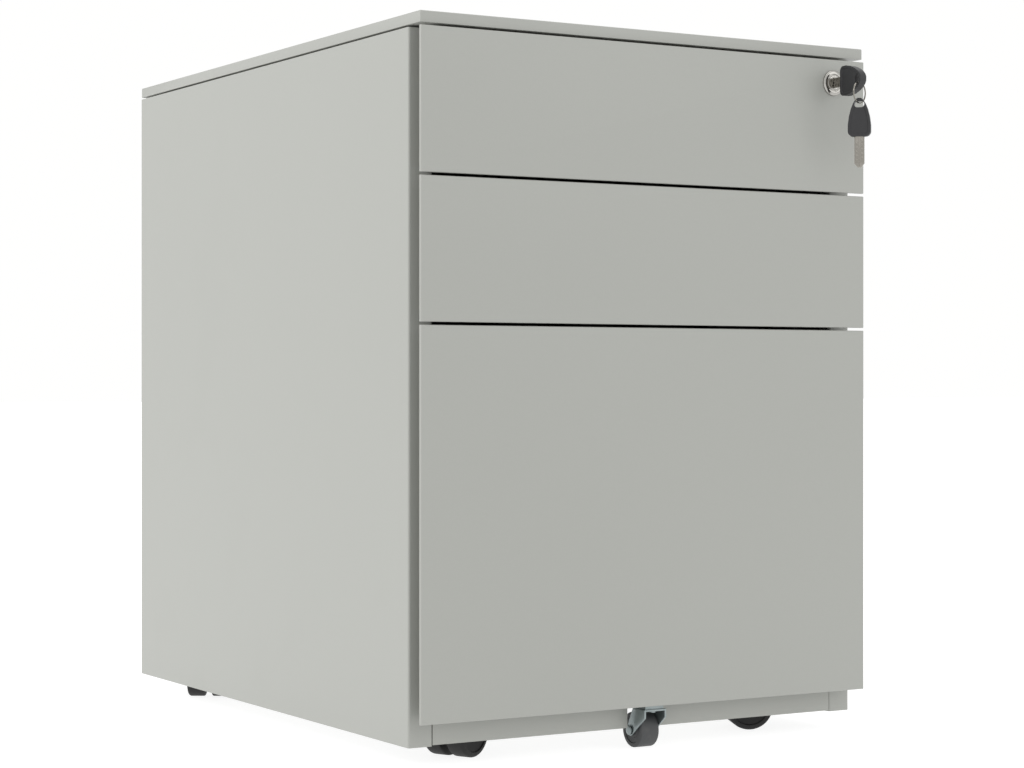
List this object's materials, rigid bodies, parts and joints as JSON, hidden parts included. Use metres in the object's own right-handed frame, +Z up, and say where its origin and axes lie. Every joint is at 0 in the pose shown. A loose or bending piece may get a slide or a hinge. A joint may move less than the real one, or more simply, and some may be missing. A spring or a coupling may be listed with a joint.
{
  "type": "mobile drawer pedestal",
  "caption": "Low steel filing cabinet on castors with handleless box drawers over a file drawer, a key lock with its keys, and an anti-tilt castor.",
  "frame": {"origin": "on the floor, below the centre of the bounding box of the closed cabinet with its keys", "axes": "+Z up, -Y to the front (drawer fronts), +X to the right seen from the front"},
  "size_m": [0.418, 0.6006, 0.5669],
  "materials": {
    "light_grey": "fine-textured powder coat, satin",
    "inner_grey": "powder coat, satin",
    "zinc": "zinc plated",
    "chrome": "nickel plated, polished",
    "key_steel": "nickel plated blade",
    "key_plastic": "moulded, satin",
    "castor_black": "moulded nylon, satin",
    "wheel_grey": "moulded, matt"
  },
  "bodies": {
    "cabinet": {"left_side": "light_grey", "right_side": "light_grey", "back_panel": "light_grey", "top_panel": "light_grey", "roof_plate": "inner_grey", "base_pan": "inner_grey", "front_rail": "light_grey", "left_uprights": "zinc", "right_uprights": "zinc", "castor_plates": "zinc", "top_screws": "zinc", "lock_bar_guides": "zinc", "upper_drawer_cabinet_slides": "zinc", "middle_drawer_cabinet_slides": "zinc", "file_drawer_cabinet_slides": "zinc"},
    "lock_bar": {"lock_bar": "zinc"},
    "upper_drawer": {"upper_drawer_front": "light_grey", "upper_drawer_liner": "light_grey", "upper_drawer_tray": "inner_grey", "upper_drawer_drawer_slides": "zinc", "lock_housing": "chrome", "lock_nut": "zinc"},
    "upper_runners": {"upper_drawer_middle_slides": "zinc"},
    "middle_drawer": {"middle_drawer_front": "light_grey", "middle_drawer_liner": "light_grey", "middle_drawer_tray": "inner_grey", "middle_drawer_drawer_slides": "zinc"},
    "middle_runners": {"middle_drawer_middle_slides": "zinc"},
    "file_drawer": {"file_drawer_front": "light_grey", "file_drawer_liner": "light_grey", "file_drawer_tray": "inner_grey", "file_drawer_drawer_slides": "zinc", "file_rails": "zinc", "fifth_fork": "zinc", "fork_pad": "zinc", "fifth_axle": "zinc", "fork_screws": "zinc"},
    "file_runners": {"file_drawer_middle_slides": "zinc"},
    "fifth_roller": {"fifth_wheel": "wheel_grey"},
    "plug": {"lock_plug": "chrome", "lock_cam": "zinc", "cam_screw": "zinc"},
    "key": {"key_blade": "key_steel", "key_head": "key_plastic"},
    "ring": {"key_ring": "key_steel"},
    "spare_key": {"spare_key_head": "key_plastic", "spare_key_blade": "key_steel"},
    "front_left_castor": {"front_left_castor_hood": "castor_black", "front_left_castor_axle": "zinc"},
    "front_left_rollers": {"front_left_castor_wheels": "castor_black"},
    "front_right_castor": {"front_right_castor_hood": "castor_black", "front_right_castor_axle": "zinc"},
    "front_right_rollers": {"front_right_castor_wheels": "castor_black"},
    "rear_left_castor": {"rear_left_castor_hood": "castor_black", "rear_left_castor_axle": "zinc"},
    "rear_left_rollers": {"rear_left_castor_wheels": "castor_black"},
    "rear_right_castor": {"rear_right_castor_hood": "castor_black", "rear_right_castor_axle": "zinc"},
    "rear_right_rollers": {"rear_right_castor_wheels": "castor_black"}
  },
  "joints": [
    {"name": "upper_drawer_slide", "type": "slide", "parent": "cabinet", "child": "upper_drawer", "axis": [0, -1, 0], "range_m": [0, 0.38]},
    {"name": "upper_runners_slide", "type": "slide", "parent": "cabinet", "child": "upper_runners", "axis": [0, -1, 0], "range_m": [0, 0.19]},
    {"name": "middle_drawer_slide", "type": "slide", "parent": "cabinet", "child": "middle_drawer", "axis": [0, -1, 0], "range_m": [0, 0.38]},
    {"name": "middle_runners_slide", "type": "slide", "parent": "cabinet", "child": "middle_runners", "axis": [0, -1, 0], "range_m": [0, 0.19]},
    {"name": "file_drawer_slide", "type": "slide", "parent": "cabinet", "child": "file_drawer", "axis": [0, -1, 0], "range_m": [0, 0.43]},
    {"name": "file_runners_slide", "type": "slide", "parent": "cabinet", "child": "file_runners", "axis": [0, -1, 0], "range_m": [0, 0.215]},
    {"name": "plug_turn", "type": "hinge", "parent": "upper_drawer", "child": "plug", "pos_m": [0.1766, -0.25714, 0.5363], "axis": [0, -1, 0], "range_deg": [0, 90]},
    {"name": "lock_bar_lift", "type": "slide", "parent": "cabinet", "child": "lock_bar", "axis": [0, 0, 1], "range_m": [0, 0.008]},
    {"name": "key_pull", "type": "slide", "parent": "plug", "child": "key", "axis": [0, -1, 0], "range_m": [0, 0.026]},
    {"name": "ring_swing", "type": "hinge", "parent": "key", "child": "ring", "pos_m": [0.1766, -0.29164, 0.5338], "axis": [0.9483, 0.3173, 0], "range_deg": [-20, 12]},
    {"name": "spare_key_swing", "type": "hinge", "parent": "ring", "child": "spare_key", "pos_m": [0.1766, -0.29164, 0.5165], "axis": [0.9483, 0.3173, 0], "range_deg": [-25, 15]},
    {"name": "fifth_roll", "type": "hinge", "parent": "file_drawer", "child": "fifth_roller", "pos_m": [0.0015, -0.23464, 0.014], "axis": [1, 0, 0], "continuous": true},
    {"name": "front_left_swivel", "type": "hinge", "parent": "cabinet", "child": "front_left_castor", "pos_m": [-0.137, -0.19464, 0.045], "axis": [0, 0, 1], "continuous": true},
    {"name": "front_left_roll", "type": "hinge", "parent": "front_left_castor", "child": "front_left_rollers", "pos_m": [-0.14779, -0.1999, 0.02], "axis": [0.4384, -0.8988, 0], "continuous": true},
    {"name": "front_right_swivel", "type": "hinge", "parent": "cabinet", "child": "front_right_castor", "pos_m": [0.148, -0.19464, 0.045], "axis": [0, 0, 1], "continuous": true},
    {"name": "front_right_roll", "type": "hinge", "parent": "front_right_castor", "child": "front_right_rollers", "pos_m": [0.13712, -0.18957, 0.02], "axis": [-0.4226, -0.9063, 0], "continuous": true},
    {"name": "rear_left_swivel", "type": "hinge", "parent": "cabinet", "child": "rear_left_castor", "pos_m": [-0.166, 0.23286, 0.045], "axis": [0, 0, 1], "continuous": true},
    {"name": "rear_left_roll", "type": "hinge", "parent": "rear_left_castor", "child": "rear_left_rollers", "pos_m": [-0.17236, 0.22269, 0.02], "axis": [0.848, -0.5299, 0], "continuous": true},
    {"name": "rear_right_swivel", "type": "hinge", "parent": "cabinet", "child": "rear_right_castor", "pos_m": [0.166, 0.23286, 0.045], "axis": [0, 0, 1], "continuous": true},
    {"name": "rear_right_roll", "type": "hinge", "parent": "rear_right_castor", "child": "rear_right_rollers", "pos_m": [0.17519, 0.22515, 0.02], "axis": [0.6428, 0.766, 0], "continuous": true}
  ],
  "couplings": [
    {"joint": "upper_runners_slide", "follows": "upper_drawer_slide", "ratio": 0.5},
    {"joint": "middle_runners_slide", "follows": "middle_drawer_slide", "ratio": 0.5},
    {"joint": "file_runners_slide", "follows": "file_drawer_slide", "ratio": 0.5},
    {"joint": "lock_bar_lift", "follows": "plug_turn", "m_per_rad": 0.005093}
  ]
}
